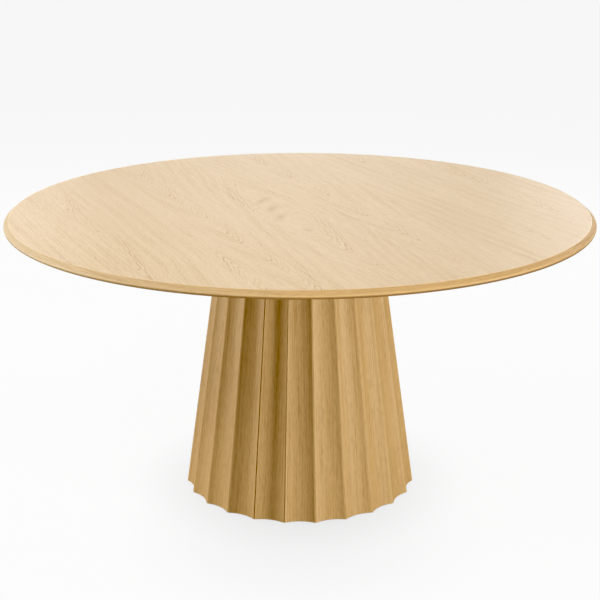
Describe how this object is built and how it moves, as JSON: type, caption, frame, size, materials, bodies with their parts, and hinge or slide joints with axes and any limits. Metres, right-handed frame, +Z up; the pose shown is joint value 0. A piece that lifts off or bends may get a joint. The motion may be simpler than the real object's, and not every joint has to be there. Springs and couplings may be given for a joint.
{
  "type": "round pedestal table",
  "caption": "Round dining table: a thin oak-veneered top with a chamfered solid edge on a tapered, fluted pedestal with levelling glides in its foot.",
  "frame": {"origin": "on the floor under the middle of the table", "axes": "+Z up; -Y is the side that faces the camera, with the middle of the first stave's flute on it; +X to the right"},
  "size_m": [1.4999, 1.4998, 0.743],
  "materials": {
    "oak_veneer": "pale oak veneer, matt lacquer",
    "oak_edge": "solid oak, matt lacquer",
    "oak_stave": "solid oak, matt lacquer",
    "plywood": "birch plywood, raw",
    "fibreboard": "medium density fibreboard, raw",
    "black_steel": "black powder coat",
    "zinc_steel": "bright zinc plate",
    "felt": "dense pressed felt"
  },
  "bodies": {
    "table": {"table_top_core": "fibreboard", "top_face_veneer": "oak_veneer", "top_back_veneer": "oak_veneer", "edge_lipping": "oak_edge", "top_inserts": "zinc_steel", "spreader_plate": "black_steel", "top_bolts": "black_steel", "top_washers": "zinc_steel", "head_bolts": "zinc_steel", "head_tee_nuts": "zinc_steel", "head_former": "plywood", "mid_former": "plywood", "foot_former": "plywood", "rib_lower_a": "plywood", "rib_lower_b": "plywood", "rib_upper_a": "plywood", "rib_upper_b": "plywood", "former_screws": "zinc_steel", "base_plate": "black_steel", "base_plate_screws": "zinc_steel", "stave_01": "oak_stave", "stave_02": "oak_stave", "stave_03": "oak_stave", "stave_04": "oak_stave", "stave_05": "oak_stave", "stave_06": "oak_stave", "stave_07": "oak_stave", "stave_08": "oak_stave", "stave_09": "oak_stave", "stave_10": "oak_stave", "stave_11": "oak_stave", "stave_12": "oak_stave", "stave_13": "oak_stave", "stave_14": "oak_stave", "stave_15": "oak_stave", "stave_16": "oak_stave", "stave_17": "oak_stave", "stave_18": "oak_stave", "stave_19": "oak_stave", "stave_20": "oak_stave", "stave_21": "oak_stave", "stave_22": "oak_stave", "stave_23": "oak_stave", "stave_24": "oak_stave"},
    "glide_1": {"glide_pad_1": "zinc_steel", "glide_sole_1": "felt"},
    "screw_1": {"glide_stud_1": "zinc_steel"},
    "glide_2": {"glide_pad_2": "zinc_steel", "glide_sole_2": "felt"},
    "screw_2": {"glide_stud_2": "zinc_steel"},
    "glide_3": {"glide_pad_3": "zinc_steel", "glide_sole_3": "felt"},
    "screw_3": {"glide_stud_3": "zinc_steel"},
    "glide_4": {"glide_pad_4": "zinc_steel", "glide_sole_4": "felt"},
    "screw_4": {"glide_stud_4": "zinc_steel"}
  },
  "joints": [
    {"name": "glide_1_rise", "type": "slide", "parent": "table", "child": "glide_1", "axis": [0, 0, -1], "range_m": [0, 0.01]},
    {"name": "glide_1_turn", "type": "hinge", "parent": "glide_1", "child": "screw_1", "pos_m": [0.16617, 0.16617, 0.0085], "axis": [0, 0, -1], "range_deg": [0, 2400]},
    {"name": "glide_2_rise", "type": "slide", "parent": "table", "child": "glide_2", "axis": [0, 0, -1], "range_m": [0, 0.01]},
    {"name": "glide_2_turn", "type": "hinge", "parent": "glide_2", "child": "screw_2", "pos_m": [-0.16617, 0.16617, 0.0085], "axis": [0, 0, -1], "range_deg": [0, 2400]},
    {"name": "glide_3_rise", "type": "slide", "parent": "table", "child": "glide_3", "axis": [0, 0, -1], "range_m": [0, 0.01]},
    {"name": "glide_3_turn", "type": "hinge", "parent": "glide_3", "child": "screw_3", "pos_m": [-0.16617, -0.16617, 0.0085], "axis": [0, 0, -1], "range_deg": [0, 2400]},
    {"name": "glide_4_rise", "type": "slide", "parent": "table", "child": "glide_4", "axis": [0, 0, -1], "range_m": [0, 0.01]},
    {"name": "glide_4_turn", "type": "hinge", "parent": "glide_4", "child": "screw_4", "pos_m": [0.16617, -0.16617, 0.0085], "axis": [0, 0, -1], "range_deg": [0, 2400]}
  ],
  "couplings": [
    {"joint": "glide_1_turn", "follows": "glide_1_rise", "rad_per_m": 4188.8},
    {"joint": "glide_2_turn", "follows": "glide_2_rise", "rad_per_m": 4188.8},
    {"joint": "glide_3_turn", "follows": "glide_3_rise", "rad_per_m": 4188.8},
    {"joint": "glide_4_turn", "follows": "glide_4_rise", "rad_per_m": 4188.8}
  ]
}
